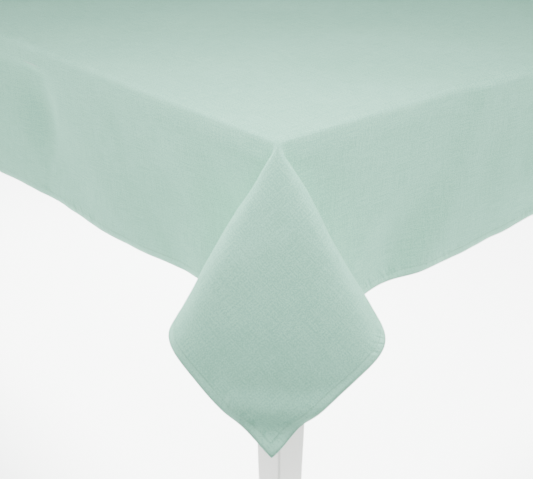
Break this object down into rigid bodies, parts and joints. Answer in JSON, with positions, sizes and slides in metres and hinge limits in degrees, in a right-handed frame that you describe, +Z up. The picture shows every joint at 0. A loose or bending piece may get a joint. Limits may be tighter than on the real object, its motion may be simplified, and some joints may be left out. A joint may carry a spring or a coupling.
{
  "type": "table with tablecloth",
  "caption": "Hemmed plain-woven tablecloth draped over a rectangular four-legged dining table, hanging straight at the sides with a pointed folded flap at each corner.",
  "frame": {"origin": "on the floor, under the middle of the table", "axes": "+X along the table's length, +Y along its width towards the back, +Z up"},
  "size_m": [1.8386, 1.2386, 0.7411],
  "materials": {
    "cotton_weave": "matt plain weave with fine slubs, pale sage green",
    "cotton_thread": "matt spun sewing thread, matched to the cloth",
    "label_tape": "blank woven tape, off-white",
    "painted_wood": "satin white paint over solid wood",
    "zinc_steel": "zinc-plated, slightly dull",
    "felt": "dense grey-brown felt"
  },
  "bodies": {
    "table": {"table_top": "painted_wood", "apron_front": "painted_wood", "apron_back": "painted_wood", "apron_left": "painted_wood", "apron_right": "painted_wood", "leg_front_right": "painted_wood", "glide_front_right": "felt", "corner_bracket_front_right": "zinc_steel", "hanger_bolt_front_right": "zinc_steel", "washer_front_right": "zinc_steel", "nut_front_right": "zinc_steel", "bracket_screw_front_right_front": "zinc_steel", "bracket_screw_front_right_right": "zinc_steel", "leg_back_right": "painted_wood", "glide_back_right": "felt", "corner_bracket_back_right": "zinc_steel", "hanger_bolt_back_right": "zinc_steel", "washer_back_right": "zinc_steel", "nut_back_right": "zinc_steel", "bracket_screw_back_right_back": "zinc_steel", "bracket_screw_back_right_right": "zinc_steel", "leg_back_left": "painted_wood", "glide_back_left": "felt", "corner_bracket_back_left": "zinc_steel", "hanger_bolt_back_left": "zinc_steel", "washer_back_left": "zinc_steel", "nut_back_left": "zinc_steel", "bracket_screw_back_left_back": "zinc_steel", "bracket_screw_back_left_left": "zinc_steel", "leg_front_left": "painted_wood", "glide_front_left": "felt", "corner_bracket_front_left": "zinc_steel", "hanger_bolt_front_left": "zinc_steel", "washer_front_left": "zinc_steel", "nut_front_left": "zinc_steel", "bracket_screw_front_left_front": "zinc_steel", "bracket_screw_front_left_left": "zinc_steel", "top_clip_front_left": "zinc_steel", "clip_screw_front_left_up": "zinc_steel", "clip_screw_front_left_side": "zinc_steel", "top_clip_front_right": "zinc_steel", "clip_screw_front_right_up": "zinc_steel", "clip_screw_front_right_side": "zinc_steel", "top_clip_back_left": "zinc_steel", "clip_screw_back_left_up": "zinc_steel", "clip_screw_back_left_side": "zinc_steel", "top_clip_back_right": "zinc_steel", "clip_screw_back_right_up": "zinc_steel", "clip_screw_back_right_side": "zinc_steel"},
    "tablecloth": {"cloth_panel": "cotton_weave", "hem_front": "cotton_weave", "hem_right": "cotton_weave", "hem_back": "cotton_weave", "hem_left": "cotton_weave", "hem_thread_front": "cotton_thread", "hem_thread_right": "cotton_thread", "hem_thread_back": "cotton_thread", "hem_thread_left": "cotton_thread", "care_label": "label_tape"}
  },
  "joints": [
    {"name": "cloth_lift", "type": "slide", "parent": "table", "child": "tablecloth", "axis": [0, 0, 1], "range_m": [0, 0.4]}
  ]
}
